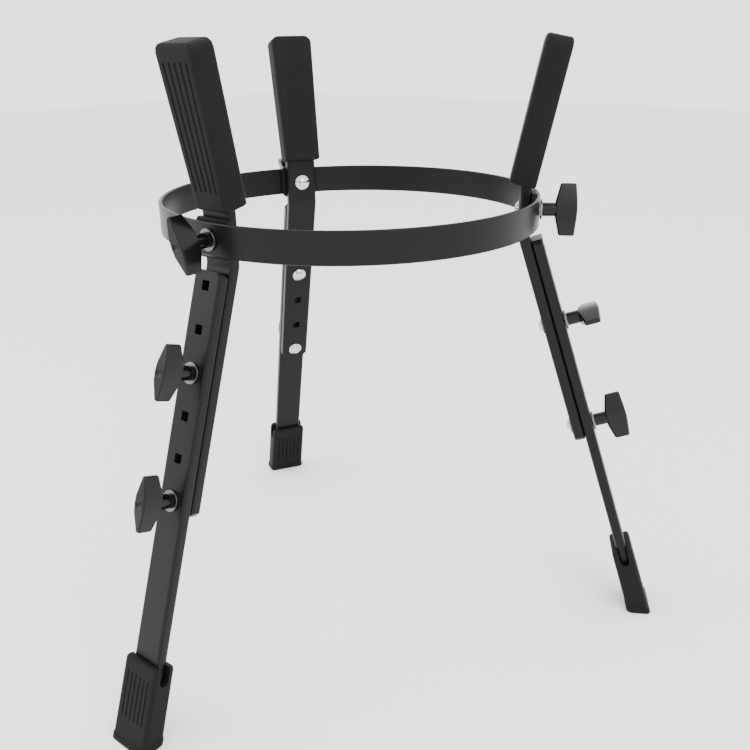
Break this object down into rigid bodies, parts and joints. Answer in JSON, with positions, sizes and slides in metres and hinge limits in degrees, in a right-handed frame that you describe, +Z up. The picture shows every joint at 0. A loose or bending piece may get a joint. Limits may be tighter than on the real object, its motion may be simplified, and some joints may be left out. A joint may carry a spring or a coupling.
{
  "type": "conga stand",
  "caption": "Height-adjustable conga stand: a flat black hoop on three leaning bolted legs, with rubber-padded arms above it and rubber boots below",
  "frame": {"origin": "on the floor, under the middle of the box that holds the stand", "axes": "+Z up along the hoop's axis; leg 1 points along -Y, legs 2 and 3 point 120 degrees to each side of it"},
  "size_m": [0.511, 0.4452, 0.5169],
  "materials": {
    "black_paint": "satin black paint on flat steel bar",
    "black_spacer": "satin black",
    "black_rubber": "matte moulded rubber",
    "chrome_bolt": "polished chrome",
    "zinc_washer": "bright plated steel",
    "knob_plastic": "glossy black moulded plastic",
    "brass_insert": "plain machined brass"
  },
  "bodies": {
    "stand": {"ring": "black_paint", "saddle_1": "black_spacer", "saddle_2": "black_spacer", "saddle_3": "black_spacer", "upper_leg_1": "black_paint", "upper_leg_2": "black_paint", "upper_leg_3": "black_paint", "pad_1": "black_rubber", "pad_2": "black_rubber", "pad_3": "black_rubber", "ring_bolt_1": "chrome_bolt", "ring_bolt_2": "chrome_bolt", "ring_bolt_3": "chrome_bolt", "high_bolt_1": "chrome_bolt", "high_bolt_2": "chrome_bolt", "high_bolt_3": "chrome_bolt", "low_bolt_1": "chrome_bolt", "low_bolt_2": "chrome_bolt", "low_bolt_3": "chrome_bolt", "ring_washer_1": "zinc_washer", "ring_washer_2": "zinc_washer", "ring_washer_3": "zinc_washer", "high_washer_1": "zinc_washer", "high_washer_2": "zinc_washer", "high_washer_3": "zinc_washer", "low_washer_1": "zinc_washer", "low_washer_2": "zinc_washer", "low_washer_3": "zinc_washer"},
    "sliding_leg_1": {"lower_leg_1": "black_paint", "boot_1": "black_rubber"},
    "sliding_leg_2": {"lower_leg_2": "black_paint", "boot_2": "black_rubber"},
    "sliding_leg_3": {"lower_leg_3": "black_paint", "boot_3": "black_rubber"},
    "ring_wing_1": {"ring_knob_1": "knob_plastic", "ring_nut_1": "brass_insert"},
    "ring_wing_2": {"ring_knob_2": "knob_plastic", "ring_nut_2": "brass_insert"},
    "ring_wing_3": {"ring_knob_3": "knob_plastic", "ring_nut_3": "brass_insert"},
    "high_wing_1": {"high_knob_1": "knob_plastic", "high_nut_1": "brass_insert"},
    "high_wing_2": {"high_knob_2": "knob_plastic", "high_nut_2": "brass_insert"},
    "high_wing_3": {"high_knob_3": "knob_plastic", "high_nut_3": "brass_insert"},
    "low_wing_1": {"low_knob_1": "knob_plastic", "low_nut_1": "brass_insert"},
    "low_wing_2": {"low_knob_2": "knob_plastic", "low_nut_2": "brass_insert"},
    "low_wing_3": {"low_knob_3": "knob_plastic", "low_nut_3": "brass_insert"}
  },
  "joints": [
    {"name": "leg_slide_1", "type": "slide", "parent": "stand", "child": "sliding_leg_1", "axis": [0, -0.309, -0.9511], "range_m": [0, 0.066]},
    {"name": "leg_slide_2", "type": "slide", "parent": "stand", "child": "sliding_leg_2", "axis": [-0.2676, 0.1545, -0.9511], "range_m": [0, 0.066]},
    {"name": "leg_slide_3", "type": "slide", "parent": "stand", "child": "sliding_leg_3", "axis": [0.2676, 0.1545, -0.9511], "range_m": [0, 0.066]},
    {"name": "ring_knob_turn_1", "type": "hinge", "parent": "stand", "child": "ring_wing_1", "pos_m": [0, -0.09954, 0.38], "axis": [0, -1, 0], "continuous": true},
    {"name": "ring_knob_turn_2", "type": "hinge", "parent": "stand", "child": "ring_wing_2", "pos_m": [-0.14038, 0.14361, 0.38], "axis": [-0.866, 0.5, 0], "continuous": true},
    {"name": "ring_knob_turn_3", "type": "hinge", "parent": "stand", "child": "ring_wing_3", "pos_m": [0.14038, 0.14361, 0.38], "axis": [0.866, 0.5, 0], "continuous": true},
    {"name": "high_knob_turn_1", "type": "hinge", "parent": "stand", "child": "high_wing_1", "pos_m": [0, -0.12617, 0.28505], "axis": [0, -0.9511, 0.309], "continuous": true},
    {"name": "high_knob_turn_2", "type": "hinge", "parent": "stand", "child": "high_wing_2", "pos_m": [-0.16345, 0.15693, 0.28505], "axis": [-0.8236, 0.4755, 0.309], "continuous": true},
    {"name": "high_knob_turn_3", "type": "hinge", "parent": "stand", "child": "high_wing_3", "pos_m": [0.16345, 0.15693, 0.28505], "axis": [0.8236, 0.4755, 0.309], "continuous": true},
    {"name": "low_knob_turn_1", "type": "hinge", "parent": "stand", "child": "low_wing_1", "pos_m": [0, -0.15676, 0.19089], "axis": [0, -0.9511, 0.309], "continuous": true},
    {"name": "low_knob_turn_2", "type": "hinge", "parent": "stand", "child": "low_wing_2", "pos_m": [-0.18994, 0.17222, 0.19089], "axis": [-0.8236, 0.4755, 0.309], "continuous": true},
    {"name": "low_knob_turn_3", "type": "hinge", "parent": "stand", "child": "low_wing_3", "pos_m": [0.18994, 0.17222, 0.19089], "axis": [0.8236, 0.4755, 0.309], "continuous": true}
  ]
}
